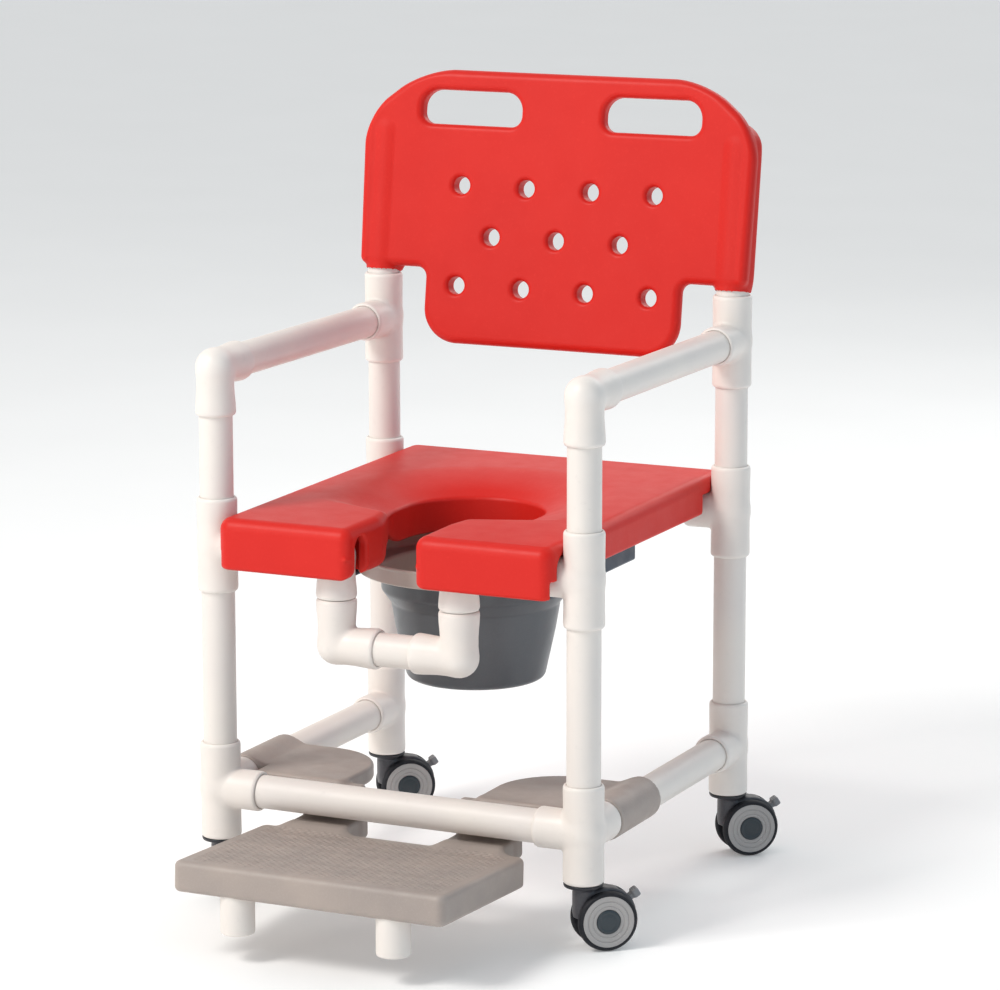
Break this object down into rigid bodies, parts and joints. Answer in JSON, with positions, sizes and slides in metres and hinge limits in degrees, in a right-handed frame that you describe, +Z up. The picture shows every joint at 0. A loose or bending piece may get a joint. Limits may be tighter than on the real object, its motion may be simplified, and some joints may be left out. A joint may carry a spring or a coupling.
{
  "type": "commode chair",
  "caption": "Wheeled shower commode chair on a white plastic pipe frame, with a red open-front seat and perforated back, slide-in pail, slide-out footrest and braked swivel casters.",
  "frame": {"origin": "on the floor, under the centre of the chair's bounding box; the chair's own mid-plane is x = -0.0175 m and its four posts stand round y = 0.094 m", "axes": "+Z up; the sitter faces -Y, so the footrest is on the -Y side and the backrest on the +Y side; +X is on the right of somebody facing the chair"},
  "size_m": [0.5945, 0.7713, 1.0124],
  "materials": {
    "pipe_plastic": "warm white satin-gloss PVC",
    "seat_plastic": "red moulded polyethylene, satin",
    "pail_plastic": "warm grey moulded plastic, smooth",
    "guide_plastic": "dark slate plastic extrusion",
    "footrest_plastic": "warm grey moulded plastic with a pebbled tread",
    "caster_insert": "black nylon",
    "caster_housing": "grey nylon",
    "tread": "black rubber tread on a grey wheel",
    "brake_pedal": "grey nylon with a ribbed toe"
  },
  "bodies": {
    "frame": {"bottom_fitting_front_left": "pipe_plastic", "lower_post_front_left": "pipe_plastic", "seat_tee_front_left": "pipe_plastic", "upper_post_front_left": "pipe_plastic", "bottom_fitting_rear_left": "pipe_plastic", "lower_post_rear_left": "pipe_plastic", "seat_tee_rear_left": "pipe_plastic", "upper_post_rear_left": "pipe_plastic", "arm_elbow_left": "pipe_plastic", "arm_tee_left": "pipe_plastic", "arm_rail_left": "pipe_plastic", "side_lower_rail_left": "pipe_plastic", "front_seat_stub_left": "pipe_plastic", "drop_elbow_upper_left": "pipe_plastic", "drop_elbow_lower_left": "pipe_plastic", "bottom_fitting_front_right": "pipe_plastic", "lower_post_front_right": "pipe_plastic", "seat_tee_front_right": "pipe_plastic", "upper_post_front_right": "pipe_plastic", "bottom_fitting_rear_right": "pipe_plastic", "lower_post_rear_right": "pipe_plastic", "seat_tee_rear_right": "pipe_plastic", "upper_post_rear_right": "pipe_plastic", "arm_elbow_right": "pipe_plastic", "arm_tee_right": "pipe_plastic", "arm_rail_right": "pipe_plastic", "side_lower_rail_right": "pipe_plastic", "front_seat_stub_right": "pipe_plastic", "drop_elbow_upper_right": "pipe_plastic", "drop_elbow_lower_right": "pipe_plastic", "front_lower_rail": "pipe_plastic", "rear_seat_rail": "pipe_plastic", "drop_crossbar": "pipe_plastic", "seat": "seat_plastic", "back_panel": "seat_plastic", "back_post_left": "pipe_plastic", "back_post_right": "pipe_plastic", "pail_guide_left": "guide_plastic", "pail_guide_right": "guide_plastic", "caster_insert_front_left": "caster_insert", "caster_insert_front_right": "caster_insert", "caster_insert_rear_left": "caster_insert", "caster_insert_rear_right": "caster_insert"},
    "footrest": {"footrest": "footrest_plastic", "footrest_foot_left": "pipe_plastic", "footrest_foot_right": "pipe_plastic"},
    "pail": {"pail": "pail_plastic"},
    "caster_front_left": {"caster_housing_front_left": "caster_housing"},
    "wheels_front_left": {"caster_wheels_front_left": "tread"},
    "pedal_front_left": {"brake_pedal_front_left": "brake_pedal"},
    "caster_front_right": {"caster_housing_front_right": "caster_housing"},
    "wheels_front_right": {"caster_wheels_front_right": "tread"},
    "pedal_front_right": {"brake_pedal_front_right": "brake_pedal"},
    "caster_rear_left": {"caster_housing_rear_left": "caster_housing"},
    "wheels_rear_left": {"caster_wheels_rear_left": "tread"},
    "pedal_rear_left": {"brake_pedal_rear_left": "brake_pedal"},
    "caster_rear_right": {"caster_housing_rear_right": "caster_housing"},
    "wheels_rear_right": {"caster_wheels_rear_right": "tread"},
    "pedal_rear_right": {"brake_pedal_rear_right": "brake_pedal"}
  },
  "joints": [
    {"name": "footrest_slide", "type": "slide", "parent": "frame", "child": "footrest", "axis": [0, 1, 0], "range_m": [0, 0.226]},
    {"name": "pail_slide", "type": "slide", "parent": "frame", "child": "pail", "axis": [0, 1, 0], "range_m": [0, 0.26]},
    {"name": "caster_swivel_front_left", "type": "hinge", "parent": "frame", "child": "caster_front_left", "pos_m": [-0.26825, -0.13775, 0.08], "axis": [0, 0, 1], "continuous": true},
    {"name": "wheel_spin_front_left", "type": "hinge", "parent": "caster_front_left", "child": "wheels_front_left", "pos_m": [-0.24833, -0.12104, 0.0375], "axis": [-0.6428, 0.766, 0], "continuous": true},
    {"name": "brake_press_front_left", "type": "hinge", "parent": "caster_front_left", "child": "pedal_front_left", "pos_m": [-0.23263, -0.10786, 0.0545], "axis": [-0.6428, 0.766, 0], "range_deg": [0, 18]},
    {"name": "caster_swivel_front_right", "type": "hinge", "parent": "frame", "child": "caster_front_right", "pos_m": [0.23325, -0.13775, 0.08], "axis": [0, 0, 1], "continuous": true},
    {"name": "wheel_spin_front_right", "type": "hinge", "parent": "caster_front_right", "child": "wheels_front_right", "pos_m": [0.25317, -0.12104, 0.0375], "axis": [-0.6428, 0.766, 0], "continuous": true},
    {"name": "brake_press_front_right", "type": "hinge", "parent": "caster_front_right", "child": "pedal_front_right", "pos_m": [0.26887, -0.10786, 0.0545], "axis": [-0.6428, 0.766, 0], "range_deg": [0, 18]},
    {"name": "caster_swivel_rear_left", "type": "hinge", "parent": "frame", "child": "caster_rear_left", "pos_m": [-0.26825, 0.32575, 0.08], "axis": [0, 0, 1], "continuous": true},
    {"name": "wheel_spin_rear_left", "type": "hinge", "parent": "caster_rear_left", "child": "wheels_rear_left", "pos_m": [-0.24833, 0.34246, 0.0375], "axis": [-0.6428, 0.766, 0], "continuous": true},
    {"name": "brake_press_rear_left", "type": "hinge", "parent": "caster_rear_left", "child": "pedal_rear_left", "pos_m": [-0.23263, 0.35564, 0.0545], "axis": [-0.6428, 0.766, 0], "range_deg": [0, 18]},
    {"name": "caster_swivel_rear_right", "type": "hinge", "parent": "frame", "child": "caster_rear_right", "pos_m": [0.23325, 0.32575, 0.08], "axis": [0, 0, 1], "continuous": true},
    {"name": "wheel_spin_rear_right", "type": "hinge", "parent": "caster_rear_right", "child": "wheels_rear_right", "pos_m": [0.25317, 0.34246, 0.0375], "axis": [-0.6428, 0.766, 0], "continuous": true},
    {"name": "brake_press_rear_right", "type": "hinge", "parent": "caster_rear_right", "child": "pedal_rear_right", "pos_m": [0.26887, 0.35564, 0.0545], "axis": [-0.6428, 0.766, 0], "range_deg": [0, 18]}
  ]
}
